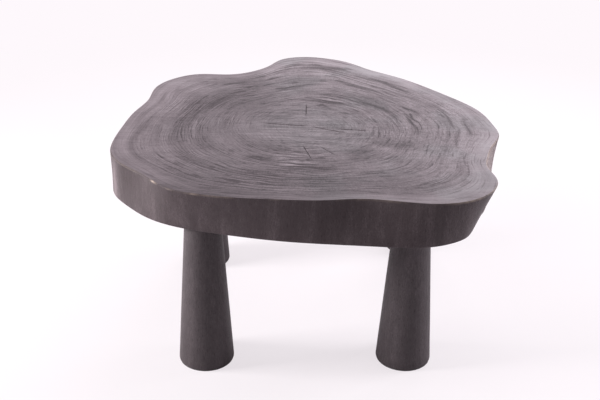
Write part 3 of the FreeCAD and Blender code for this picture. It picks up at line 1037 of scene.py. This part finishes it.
def felt_material():
    """Pressed dark wool felt: matted fibres and a faint bloom."""
    material, tree, shader = new_material("pad_felt")
    values = plain_noises(tree, object_place(tree), FELT_NOISES)
    tone = weighed(tree, 0.5, values, matted=1.1, clumps=0.8)
    put(tree, shader.inputs["Base Color"], ramp(tree, tone, (0.15, FELT_DARK), (0.85, FELT_LIGHT)))
    put(tree, shader.inputs["Roughness"], weighed(tree, 0.92, values, matted=0.1))
    shader.inputs["Sheen Weight"].default_value = 0.25
    shader.inputs["Sheen Roughness"].default_value = 0.6
    relief_of(tree, shader, weighed(tree, 0.0, values, matted=0.25, clumps=0.2))
    return material


def steel_material():
    """Zinc-plated steel: crystalline flecks, fine draw marks and dull patches."""
    material, tree, shader = new_material("fastener_steel")
    place = object_place(tree)
    values = grain_noises(tree, place, DRAWN_NOISE)
    values.update(plain_noises(tree, place, STEEL_NOISES))
    tone = weighed(tree, 0.5, values, drawn=0.5, flecks=0.6, dull=0.7)
    put(tree, shader.inputs["Base Color"], ramp(tree, tone, (0.2, STEEL_DARK), (0.8, STEEL_LIGHT)))
    put(tree, shader.inputs["Roughness"], weighed(tree, 0.36, values, drawn=0.2, dull=0.3))
    shader.inputs["Metallic"].default_value = 1.0
    relief_of(tree, shader, weighed(tree, 0.0, values, drawn=0.02, flecks=0.02))
    return material


# The studio.

FLOOR_COLOUR = srgb(246, 241, 245)
FLOOR_PALE = srgb(250, 245, 249)
BACKDROP_COLOUR = srgb(254, 248, 252)
WORLD_COLOUR = srgb(255, 250, 253)
FLOOR_HALF = 7.0
FLOOR_LINES = 29
FLOOR_DROP = 0.2 * MM
FLOOR_LIFT = 0.72
WORLD_LEVEL = 0.20
WARM_WHITE = (1.0, 0.985, 0.970)
COOL_WHITE = (0.990, 0.980, 1.0)

# Soft light from above and behind, a broad one from the left and a weaker one from the right: place,
# the point that it faces, width, height, power and colour.
LIGHTS = {
    "light_back": ((0.6, 2.1, 1.7), (0.0, 0.1, 0.4), 2.2, 1.3, 46.0, COOL_WHITE),
    "light_left": ((-2.5, -0.5, 1.15), (0.0, 0.0, 0.3), 0.9, 0.8, 101.0, WARM_WHITE),
    "light_right": ((2.6, 0.4, 1.25), (0.0, 0.0, 0.3), 1.3, 1.1, 57.0, COOL_WHITE)}


def make_floor():
    """Pale, softly uneven floor, lifted towards white for the camera, but with its shadows."""
    steps = np.linspace(-FLOOR_HALF, FLOOR_HALF, FLOOR_LINES)
    points = [(x, y, -FLOOR_DROP) for y in steps for x in steps]
    count = len(steps)
    faces = [(r * count + c, r * count + c + 1, (r + 1) * count + c + 1, (r + 1) * count + c)
             for r in range(count - 1) for c in range(count - 1)]
    floor = mesh_object("floor", points, faces)
    material, tree, shader = new_material("floor_paint", 0.9)
    place = object_place(tree)
    clouds = span(tree, noise(tree, place, 2.2, 3.0), 0.3, 0.7)
    put(tree, shader.inputs["Base Color"], mixed(tree, clouds, FLOOR_COLOUR, FLOOR_PALE))
    shader.inputs["Specular IOR Level"].default_value = 0.2
    glow = node(tree, "Emission", {"Color": BACKDROP_COLOUR, "Strength": 1.0})
    seen = node(tree, "LightPath").outputs["Is Camera Ray"]
    away = vectors(tree, "LENGTH", place)
    lift = times(tree, seen, span(tree, away, 0.6, 2.2, FLOOR_LIFT, 1.0))
    mix = node(tree, "MixShader", {0: lift, 1: shader.outputs[0], 2: glow.outputs[0]})
    tree.links.new(mix.outputs[0], tree.nodes["Material Output"].inputs[0])
    floor.data.materials.append(material)


def make_world():
    """Even pale surroundings, white behind the object."""
    world = bpy.data.worlds.new("studio")
    bpy.context.scene.world = world
    world.use_nodes = True
    tree = world.node_tree
    tree.nodes.clear()
    path = node(tree, "LightPath")
    seen = maths(tree, "MAXIMUM", path.outputs["Is Camera Ray"], path.outputs["Is Transmission Ray"])
    seen = maths(tree, "MAXIMUM", seen, path.outputs["Is Glossy Ray"])
    light = node(tree, "Background", {"Color": WORLD_COLOUR, "Strength": WORLD_LEVEL})
    white = node(tree, "Background", {"Color": BACKDROP_COLOUR, "Strength": 1.0})
    mix = node(tree, "MixShader", {0: seen, 1: light.outputs[0], 2: white.outputs[0]})
    node(tree, "OutputWorld", {0: mix.outputs[0]})


def softbox(name, place, target, width, height, power, colour):
    """A large soft lamp turned to a point."""
    lamp = bpy.data.lights.new(name, "AREA")
    lamp.shape = "RECTANGLE"
    lamp.size = width
    lamp.size_y = height
    lamp.energy = power
    lamp.color = colour
    box = bpy.data.objects.new(name, lamp)
    box.location = place
    box.rotation_mode = "QUATERNION"
    box.rotation_quaternion = (Vector(target) - Vector(place)).to_track_quat("-Z", "Y")
    box.visible_camera = False
    bpy.context.scene.collection.objects.link(box)


def make_camera():
    """The photograph's view."""
    data = bpy.data.cameras.new("camera")
    data.sensor_fit = "HORIZONTAL"
    data.sensor_width = SENSOR_WIDTH
    data.lens = SENSOR_WIDTH * FOCAL_PIXELS / IMAGE_WIDTH
    camera = bpy.data.objects.new("camera", data)
    turn = Matrix.Rotation(0.5 * math.pi - CAMERA_PITCH, 4, "X") @ Matrix.Rotation(CAMERA_ROLL, 4, "Z")
    camera.matrix_world = Matrix.Translation(CAMERA_PLACE) @ turn
    bpy.context.scene.collection.objects.link(camera)
    bpy.context.scene.camera = camera


def main():
    """Builds the pieces, dresses them and sets the studio."""
    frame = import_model()
    slab, slots = make_slab()
    slab.data.materials.append(end_grain_material("slab_end_grain"))
    slab.data.materials.append(long_grain_material("slab_side_grain", SIDE_COLOURS, SIDE_STREAKS, True))
    slab.data.polygons.foreach_set("material_index", slots)
    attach(slab, "root")
    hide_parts("slab_top")
    leg_wood = long_grain_material("leg_long_grain", LEG_COLOURS, LEG_STREAKS)
    felt = felt_material()
    for number, (corner, share) in enumerate(LEG_PLACE_SHARES.items()):
        leg = make_leg(corner, share, LEG_SEED + LEG_SEED_STEP * number)
        leg.data.materials.append(leg_wood)
        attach(leg, "root")
        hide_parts("leg_" + corner)
        pad = make_pad(corner, share, PAD_SEED + number)
        pad.data.materials.append(felt)
        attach(pad, "root")
        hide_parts("felt_pads")
    steel = steel_material()
    for name, piece in frame["nodes"].items():
        if name.startswith("hanger_bolt") or name == "thread_inserts":
            piece.data.materials.clear()
            piece.data.materials.append(steel)
    make_floor()
    make_world()
    for name, settings in LIGHTS.items():
        softbox(name, *settings)
    make_camera()
    bpy.context.scene.view_settings.view_transform = "Standard"


main()
